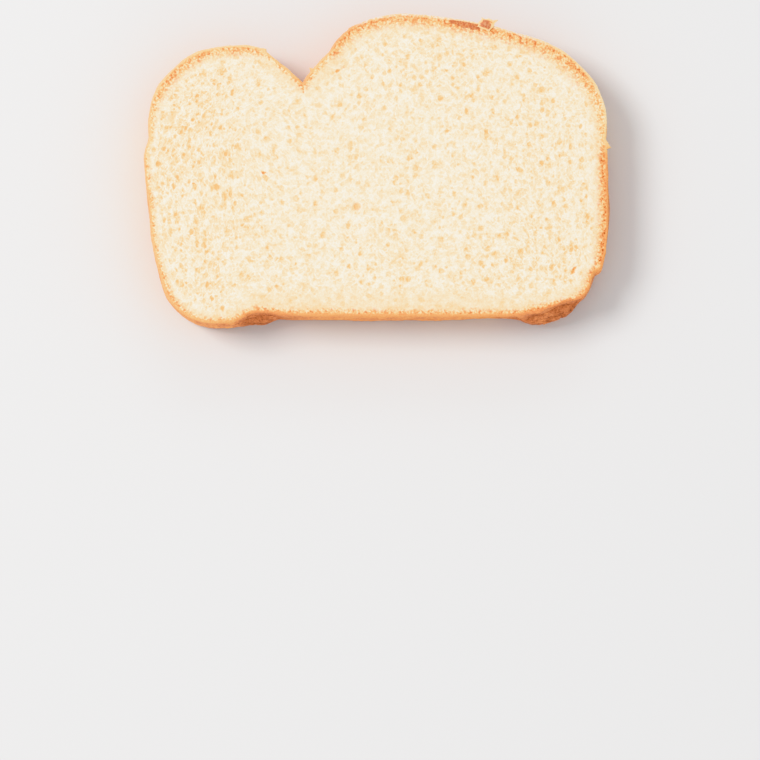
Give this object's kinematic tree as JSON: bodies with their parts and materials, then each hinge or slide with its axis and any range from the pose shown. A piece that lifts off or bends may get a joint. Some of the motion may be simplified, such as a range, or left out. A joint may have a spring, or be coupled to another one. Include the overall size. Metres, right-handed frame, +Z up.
{
  "type": "slice of white bread",
  "caption": "Flat slice of white sandwich bread with a soft open crumb, a thin crust, a broad dome and a small side lobe parted by a cleft.",
  "frame": {"origin": "middle of the slice's bounding box in plan, at the lower cut face it rests on", "axes": "+X along the long side, from the small lobe to the dome's right side; +Y from the foot to the dome; +Z up through the thickness"},
  "size_m": [0.1354, 0.0916, 0.014],
  "materials": {
    "crumb": "soft open bread crumb, cream walls round small tan pores",
    "crust": "thin baked crust, golden to brown, slightly glossy on the dome"
  },
  "bodies": {
    "root": {"bread_slice": "crumb"}
  },
  "joints": []
}
